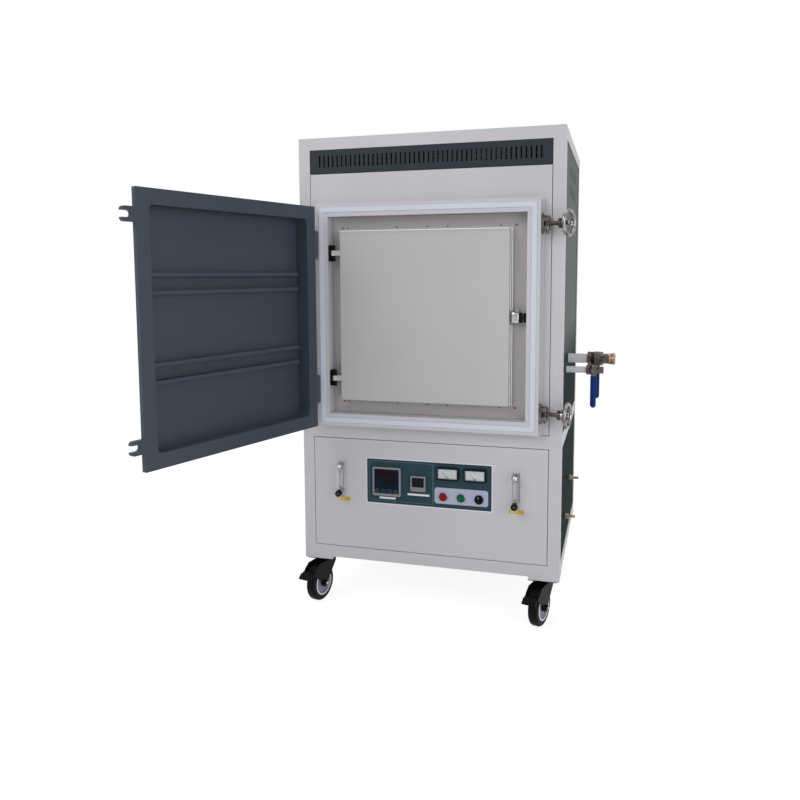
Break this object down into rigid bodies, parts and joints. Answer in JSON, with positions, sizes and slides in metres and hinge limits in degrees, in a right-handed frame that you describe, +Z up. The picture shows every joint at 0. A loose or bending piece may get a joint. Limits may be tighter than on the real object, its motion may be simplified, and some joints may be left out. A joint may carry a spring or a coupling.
{
  "type": "vacuum atmosphere furnace",
  "caption": "Box furnace in a cabinet on casters, with a sealed outer door held by swing bolts, a plugged inner door, valves on the side and a control panel below.",
  "frame": {"origin": "middle of the footprint, on the floor, with the outer door standing open", "axes": "+X to the right seen from the front, +Y to the back, +Z up"},
  "size_m": [1.1682, 1.5431, 1.562],
  "materials": {
    "cabinet_paint": "light grey textured powder coat",
    "side_paint": "dark grey green enamel",
    "vent_paint": "dark grey powder coat",
    "chamber_paint": "light grey enamel",
    "seal_rubber": "pale silicone rubber",
    "mouth_paint": "light grey enamel",
    "fibre": "white ceramic fibre board",
    "element": "dark silicide rod with pale bushes",
    "ceramic": "unglazed ceramic",
    "hearth_ceramic": "dark refractory ceramic",
    "black_metal": "black oxide",
    "door_paint": "slate grey powder coat",
    "steel": "machined steel",
    "plate_paint": "dark teal enamel",
    "controller_plastic": "grey moulded plastic",
    "black_plastic": "black moulded plastic",
    "switch_paint": "pale lilac enamel",
    "clear_plastic": "clear acrylic",
    "nickel": "nickel plate",
    "pipe_paint": "white enamel",
    "valve_metal": "stained stainless steel",
    "brass": "turned brass",
    "core_steel": "varnished laminations",
    "inner_paint": "light grey enamel",
    "lever_paint": "deep blue dip coat",
    "red_plastic": "red moulded plastic",
    "green_plastic": "green moulded plastic",
    "float_red": "red float",
    "tyre": "black rubber on a grey hub"
  },
  "bodies": {
    "cabinet": {"frame": "cabinet_paint", "roof_and_floor_pans": "cabinet_paint", "back_panels": "side_paint", "side_panels": "side_paint", "vent_grille": "vent_paint", "front_panel": "cabinet_paint", "chamber_shell": "chamber_paint", "door_seal": "seal_rubber", "mouth_plate": "mouth_paint", "fiber_lining": "fibre", "heating_elements": "element", "thermocouple": "ceramic", "hearth_plate": "hearth_ceramic", "inner_door_mounts": "black_metal", "outer_hinge_leaves": "door_paint", "clamp_clevises": "steel", "control_cover": "cabinet_paint", "instrument_plate": "plate_paint", "temperature_controllers": "controller_plastic", "meter_cases": "black_plastic", "switch_plate": "switch_paint", "flowmeter_tubes": "clear_plastic", "flowmeter_fittings": "nickel", "port_pipes": "pipe_paint", "valve_bodies": "valve_metal", "gas_fittings": "brass", "caster_plates": "black_metal", "transformer": "core_steel"},
    "outer_door": {"outer_door": "door_paint", "outer_door_fittings": "door_paint"},
    "inner_door": {"inner_door": "inner_paint", "inner_door_plug": "fibre"},
    "inner_latch": {"inner_latch": "nickel"},
    "upper_swing_bolt": {"upper_swing_bolt": "steel"},
    "lower_swing_bolt": {"lower_swing_bolt": "steel"},
    "upper_thrust_collar": {"upper_thrust_collar": "steel"},
    "lower_thrust_collar": {"lower_thrust_collar": "steel"},
    "upper_handwheel": {"upper_handwheel": "nickel"},
    "lower_handwheel": {"lower_handwheel": "nickel"},
    "vacuum_valve_lever": {"vacuum_valve_lever": "lever_paint"},
    "gas_valve_lever": {"gas_valve_lever": "lever_paint"},
    "stop_button": {"stop_button": "red_plastic"},
    "start_button": {"start_button": "green_plastic"},
    "selector_knob": {"selector_knob": "black_plastic"},
    "left_flow_knob": {"left_flow_knob": "black_plastic"},
    "right_flow_knob": {"right_flow_knob": "black_plastic"},
    "left_float": {"left_float": "float_red"},
    "right_float": {"right_float": "float_red"},
    "left_needle": {"left_needle": "black_plastic"},
    "right_needle": {"right_needle": "black_plastic"},
    "front_left_fork": {"front_left_fork": "black_metal"},
    "front_right_fork": {"front_right_fork": "black_metal"},
    "rear_left_fork": {"rear_left_fork": "black_metal"},
    "rear_right_fork": {"rear_right_fork": "black_metal"},
    "front_left_wheel": {"front_left_wheel": "tyre"},
    "front_right_wheel": {"front_right_wheel": "tyre"},
    "rear_left_wheel": {"rear_left_wheel": "tyre"},
    "rear_right_wheel": {"rear_right_wheel": "tyre"},
    "left_brake_pedal": {"left_brake_pedal": "black_metal"},
    "right_brake_pedal": {"right_brake_pedal": "black_metal"}
  },
  "joints": [
    {"name": "outer_door_swing", "type": "hinge", "parent": "cabinet", "child": "outer_door", "pos_m": [-0.3589, -0.04953, 0.981], "axis": [0, 0, -1], "range_deg": [-106, 24]},
    {"name": "inner_door_swing", "type": "hinge", "parent": "cabinet", "child": "inner_door", "pos_m": [-0.3039, -0.03153, 0.986], "axis": [0, 0, -1], "range_deg": [0, 100]},
    {"name": "inner_latch_turn", "type": "hinge", "parent": "inner_door", "child": "inner_latch", "pos_m": [0.2901, -0.00753, 0.986], "axis": [0, 1, 0], "range_deg": [0, 90]},
    {"name": "upper_bolt_swing", "type": "hinge", "parent": "cabinet", "child": "upper_swing_bolt", "pos_m": [0.3801, -0.02953, 1.27], "axis": [0, 0, 1], "range_deg": [-68, 18]},
    {"name": "upper_collar_travel", "type": "slide", "parent": "upper_swing_bolt", "child": "upper_thrust_collar", "axis": [0.9272, -0.3746, 0], "range_m": [-0.016, 0]},
    {"name": "upper_handwheel_spin", "type": "hinge", "parent": "upper_thrust_collar", "child": "upper_handwheel", "pos_m": [0.3801, -0.02953, 1.27], "axis": [0.9272, -0.3746, 0], "range_deg": [-1910, 0]},
    {"name": "lower_bolt_swing", "type": "hinge", "parent": "cabinet", "child": "lower_swing_bolt", "pos_m": [0.3801, -0.02953, 0.692], "axis": [0, 0, 1], "range_deg": [-79, 7]},
    {"name": "lower_collar_travel", "type": "slide", "parent": "lower_swing_bolt", "child": "lower_thrust_collar", "axis": [0.9816, -0.1908, 0], "range_m": [-0.016, 0]},
    {"name": "lower_handwheel_spin", "type": "hinge", "parent": "lower_thrust_collar", "child": "lower_handwheel", "pos_m": [0.3801, -0.02953, 0.692], "axis": [0.9816, -0.1908, 0], "range_deg": [-1910, 0]},
    {"name": "vacuum_valve_turn", "type": "hinge", "parent": "cabinet", "child": "vacuum_valve_lever", "pos_m": [0.5251, 0.29247, 0.833], "axis": [0, -1, 0], "range_deg": [0, 90]},
    {"name": "gas_valve_turn", "type": "hinge", "parent": "cabinet", "child": "gas_valve_lever", "pos_m": [0.5171, 0.19247, 0.806], "axis": [0, -1, 0], "range_deg": [0, 90]},
    {"name": "stop_button_press", "type": "slide", "parent": "cabinet", "child": "stop_button", "axis": [0, 1, 0], "range_m": [0, 0.004], "stiffness_N_per_m": 300},
    {"name": "start_button_press", "type": "slide", "parent": "cabinet", "child": "start_button", "axis": [0, 1, 0], "range_m": [0, 0.004], "stiffness_N_per_m": 300},
    {"name": "selector_turn", "type": "hinge", "parent": "cabinet", "child": "selector_knob", "pos_m": [0.1747, -0.00753, 0.40101], "axis": [0, -1, 0], "range_deg": [-45, 45]},
    {"name": "left_flow_knob_turn", "type": "hinge", "parent": "cabinet", "child": "left_flow_knob", "pos_m": [-0.2899, -0.03953, 0.3975], "axis": [0, -1, 0], "range_deg": [0, 1080]},
    {"name": "left_float_rise", "type": "slide", "parent": "cabinet", "child": "left_float", "axis": [0, 0, 1], "range_m": [0, 0.052]},
    {"name": "right_flow_knob_turn", "type": "hinge", "parent": "cabinet", "child": "right_flow_knob", "pos_m": [0.2921, -0.03953, 0.3975], "axis": [0, -1, 0], "range_deg": [0, 1080]},
    {"name": "right_float_rise", "type": "slide", "parent": "cabinet", "child": "right_float", "axis": [0, 0, 1], "range_m": [0, 0.052]},
    {"name": "left_needle_swing", "type": "hinge", "parent": "cabinet", "child": "left_needle", "pos_m": [0.07173, -0.00753, 0.46548], "axis": [0, 1, 0], "range_deg": [0, 90]},
    {"name": "right_needle_swing", "type": "hinge", "parent": "cabinet", "child": "right_needle", "pos_m": [0.16118, -0.00753, 0.46548], "axis": [0, 1, 0], "range_deg": [0, 90]},
    {"name": "front_left_swivel", "type": "hinge", "parent": "cabinet", "child": "front_left_fork", "pos_m": [-0.3759, 0.04247, 0.1317], "axis": [0, 0, 1], "continuous": true},
    {"name": "front_left_roll", "type": "hinge", "parent": "front_left_fork", "child": "front_left_wheel", "pos_m": [-0.38377, 0.00837, 0.0625], "axis": [0.9744, -0.225, 0], "continuous": true},
    {"name": "left_pedal_press", "type": "hinge", "parent": "front_left_fork", "child": "left_brake_pedal", "pos_m": [-0.39833, -0.05469, 0.10952], "axis": [0.9744, -0.225, 0], "range_deg": [0, 12]},
    {"name": "front_right_swivel", "type": "hinge", "parent": "cabinet", "child": "front_right_fork", "pos_m": [0.3781, 0.04247, 0.1317], "axis": [0, 0, 1], "continuous": true},
    {"name": "front_right_roll", "type": "hinge", "parent": "front_right_fork", "child": "front_right_wheel", "pos_m": [0.36845, 0.00883, 0.0625], "axis": [0.9613, -0.2756, 0], "continuous": true},
    {"name": "right_pedal_press", "type": "hinge", "parent": "front_right_fork", "child": "right_brake_pedal", "pos_m": [0.35062, -0.05339, 0.10952], "axis": [0.9613, -0.2756, 0], "range_deg": [0, 12]},
    {"name": "rear_left_swivel", "type": "hinge", "parent": "cabinet", "child": "rear_left_fork", "pos_m": [-0.3759, 0.70247, 0.1317], "axis": [0, 0, 1], "continuous": true},
    {"name": "rear_left_roll", "type": "hinge", "parent": "rear_left_fork", "child": "rear_left_wheel", "pos_m": [-0.36862, 0.66824, 0.0625], "axis": [0.9781, 0.2079, 0], "continuous": true},
    {"name": "rear_right_swivel", "type": "hinge", "parent": "cabinet", "child": "rear_right_fork", "pos_m": [0.3781, 0.70247, 0.1317], "axis": [0, 0, 1], "continuous": true},
    {"name": "rear_right_roll", "type": "hinge", "parent": "rear_right_fork", "child": "rear_right_wheel", "pos_m": [0.37323, 0.66781, 0.0625], "axis": [0.9903, -0.1392, 0], "continuous": true}
  ],
  "couplings": [
    {"joint": "upper_collar_travel", "follows": "upper_handwheel_spin", "m_per_rad": 0.00047746},
    {"joint": "lower_collar_travel", "follows": "lower_handwheel_spin", "m_per_rad": 0.00047746}
  ]
}
